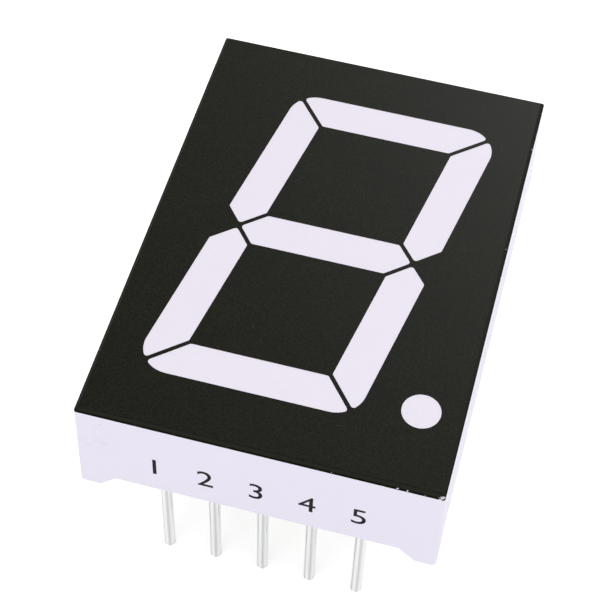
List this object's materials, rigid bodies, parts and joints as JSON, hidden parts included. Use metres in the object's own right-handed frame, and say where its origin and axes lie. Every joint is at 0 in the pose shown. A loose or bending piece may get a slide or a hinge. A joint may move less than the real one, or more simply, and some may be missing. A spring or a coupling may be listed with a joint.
{
  "type": "seven segment display",
  "caption": "Seven segment LED display digit with a decimal point: white reflector case, black face, diffusing light windows, potted circuit board and rows of round through-hole pins.",
  "frame": {"origin": "on the plane of the pin tips, below the middle of the face", "axes": "+Z out of the face, +Y towards the top of the digit, +X to the right as the digit is read"},
  "size_m": [0.0286, 0.0406, 0.021],
  "materials": {
    "case_plastic": "smooth white moulding",
    "face_ink": "satin black ink",
    "window_resin": "milky diffusing resin, flat and smooth",
    "board_laminate": "green coated glass laminate",
    "copper": "bright copper foil",
    "solder": "bright solder",
    "led_chip": "clear amber crystal",
    "bond_wire": "bright gold wire",
    "tinned_wire": "smooth bright tin",
    "potting_resin": "clear slightly milky resin, self-levelled"
  },
  "bodies": {
    "root": {"reflector_case": "case_plastic", "face_ink": "face_ink", "circuit_board": "board_laminate", "copper_tracks": "copper", "solder_joints": "solder", "potting_resin": "potting_resin", "light_window_a": "window_resin", "light_window_b": "window_resin", "light_window_c": "window_resin", "light_window_d": "window_resin", "light_window_e": "window_resin", "light_window_f": "window_resin", "light_window_g": "window_resin", "light_window_dot": "window_resin", "led_chips_a": "led_chip", "led_chips_b": "led_chip", "led_chips_c": "led_chip", "led_chips_d": "led_chip", "led_chips_e": "led_chip", "led_chips_f": "led_chip", "led_chips_g": "led_chip", "led_chips_dot": "led_chip", "bond_wires_a": "bond_wire", "bond_wires_b": "bond_wire", "bond_wires_c": "bond_wire", "bond_wires_d": "bond_wire", "bond_wires_e": "bond_wire", "bond_wires_f": "bond_wire", "bond_wires_g": "bond_wire", "bond_wires_dot": "bond_wire", "pin_1": "tinned_wire", "pin_2": "tinned_wire", "pin_3": "tinned_wire", "pin_4": "tinned_wire", "pin_5": "tinned_wire", "pin_6": "tinned_wire", "pin_7": "tinned_wire", "pin_8": "tinned_wire", "pin_9": "tinned_wire", "pin_10": "tinned_wire"}
  },
  "joints": []
}
